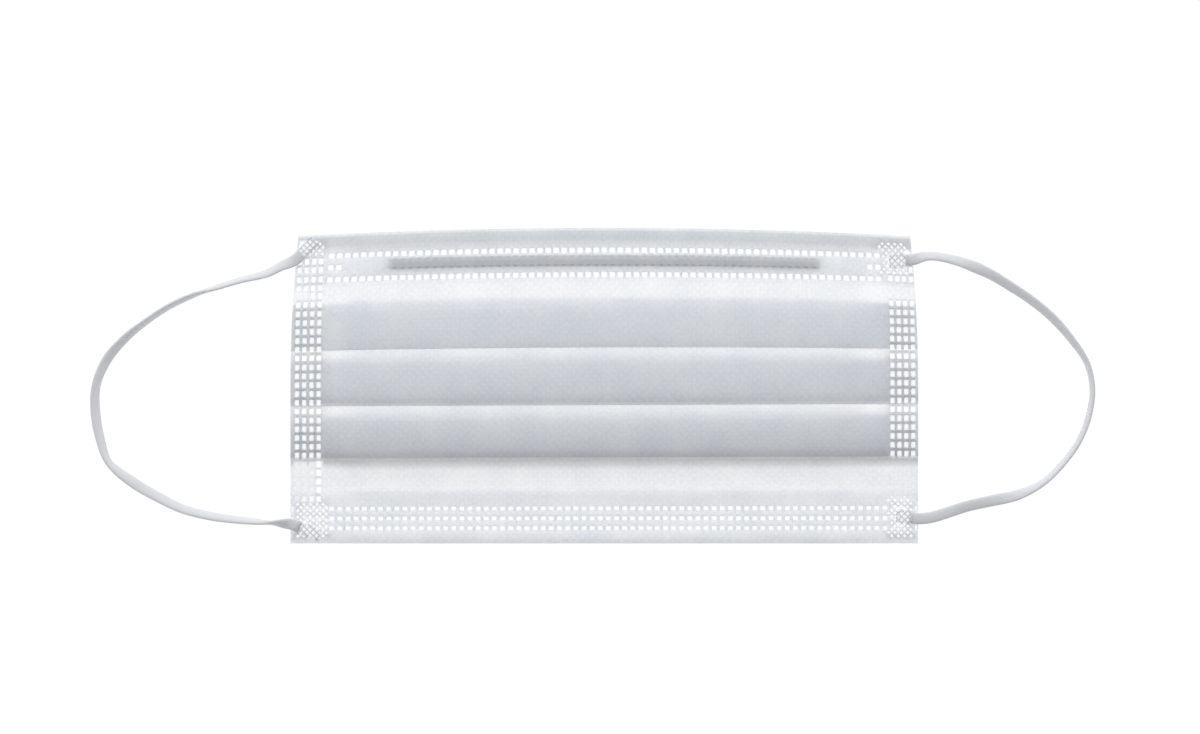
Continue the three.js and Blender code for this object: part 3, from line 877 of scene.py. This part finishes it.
rim = [edge for edge in edge_uses if (edge[1], edge[0]) not in edge_uses]
outer_faces = [tuple(reversed(t)) for t in upward.tolist()]
inner_faces = [(a + count, b + count, c + count) for a, b, c in upward.tolist()]
rim_faces = [(a, b, b + count, a + count) for a, b in rim]
sheet = new_object("pleated_sheet", np.vstack(faces_of_sheet), outer_faces + inner_faces + rim_faces)
sheet.data.set_sharp_from_angle(angle=math.radians(CRISP_ANGLE))
set_uv(sheet, np.vstack([flat, flat]))
set_attribute(sheet, "film", np.concatenate([film, film]))
top_layers = np.zeros(count, bool)
for layer in (1, 3, 5, 7):
    a, b = cut.layers[layer]
    top_layers |= (s >= cut.along[a]) & (s <= cut.along[b])
# Painted shade on the outer faces of the layers that lie face up.
shade = outer_shade(x, y, painted_shade_weight, top_layers)
set_attribute(sheet, "shade", np.concatenate([shade, np.ones(count)]))
set_attribute(sheet, "thin", np.tile(thinness(x, y), 2))
wire_edges = [cut.find(1, np.array([WIRE_Y + offset]))[0] for offset in (-1.2, 1.2)]
sheet.data.materials.append(nonwoven_material(wire_edges))
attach(sheet, "root")
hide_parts("mask_sheet")

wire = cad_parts["nose_wire"]
wire.data.materials.clear()
wire.data.materials.append(wire_material())


# The table and the light

def table_material():
    nodes = Nodes("table")
    place = nodes.add("ShaderNodeTexCoord").outputs["Object"]
    cloud = nodes.noise(place, 40, 2.0, 0.5)
    colour = nodes.mix_colour(cloud, (0.04, 0.04, 0.04, 1), (0.05, 0.05, 0.05, 1))
    plate = nodes.add(
        "ShaderNodeBsdfPrincipled",
        {
            "Base Color": colour, "Roughness": 0.9, "Specular IOR Level": 0.0,
            "Emission Color": (1, 1, 1, 1), "Emission Strength": 1.0,
        },
    )
    material = nodes.finish(plate.outputs[0])
    material.cycles.emission_sampling = "NONE"  # nearly all its light comes through what lies on it
    return material


def build_floor():
    reach = 6000.0
    corners = [(-reach, -reach, -0.05), (reach, -reach, -0.05), (reach, reach, -0.05), (-reach, reach, -0.05)]
    floor = new_object("floor", corners, [(0, 1, 2, 3)], False)
    floor.data.materials.append(table_material())
    return floor


def build_light():
    world = bpy.data.worlds.new("studio")
    bpy.context.scene.world = world
    world.use_nodes = True
    tree = world.node_tree
    tree.nodes.clear()
    place = tree.nodes.new("ShaderNodeTexCoord")
    split = tree.nodes.new("ShaderNodeSeparateXYZ")
    ramp = tree.nodes.new("ShaderNodeMapRange")
    background = tree.nodes.new("ShaderNodeBackground")
    output = tree.nodes.new("ShaderNodeOutputWorld")
    tree.links.new(place.outputs["Generated"], split.inputs[0])
    tree.links.new(split.outputs[2], ramp.inputs["Value"])
    tree.links.new(ramp.outputs[0], background.inputs["Strength"])
    tree.links.new(background.outputs[0], output.inputs["Surface"])
    ramp.inputs["From Min"].default_value = 0.0
    ramp.inputs["From Max"].default_value = 0.5
    ramp.inputs["To Min"].default_value = 0.95
    ramp.inputs["To Max"].default_value = 0.34
    soft = bpy.data.lights.new("soft_light", "AREA")
    soft.shape = "RECTANGLE"
    soft.size = 1.6
    soft.size_y = 0.9
    soft.energy = 18.0
    lamp = bpy.data.objects.new("soft_light", soft)
    lamp.location = (-0.2, 1.3, 1.1)
    lamp.rotation_euler = (Vector((0, 0, 0)) - lamp.location).to_track_quat("-Z", "Y").to_euler()
    bpy.context.scene.collection.objects.link(lamp)


build_floor()
build_light()
scene = bpy.context.scene
scene.view_settings.view_transform = "Standard"
scene.cycles.max_bounces = 24
scene.cycles.diffuse_bounces = 12
scene.cycles.transmission_bounces = 24
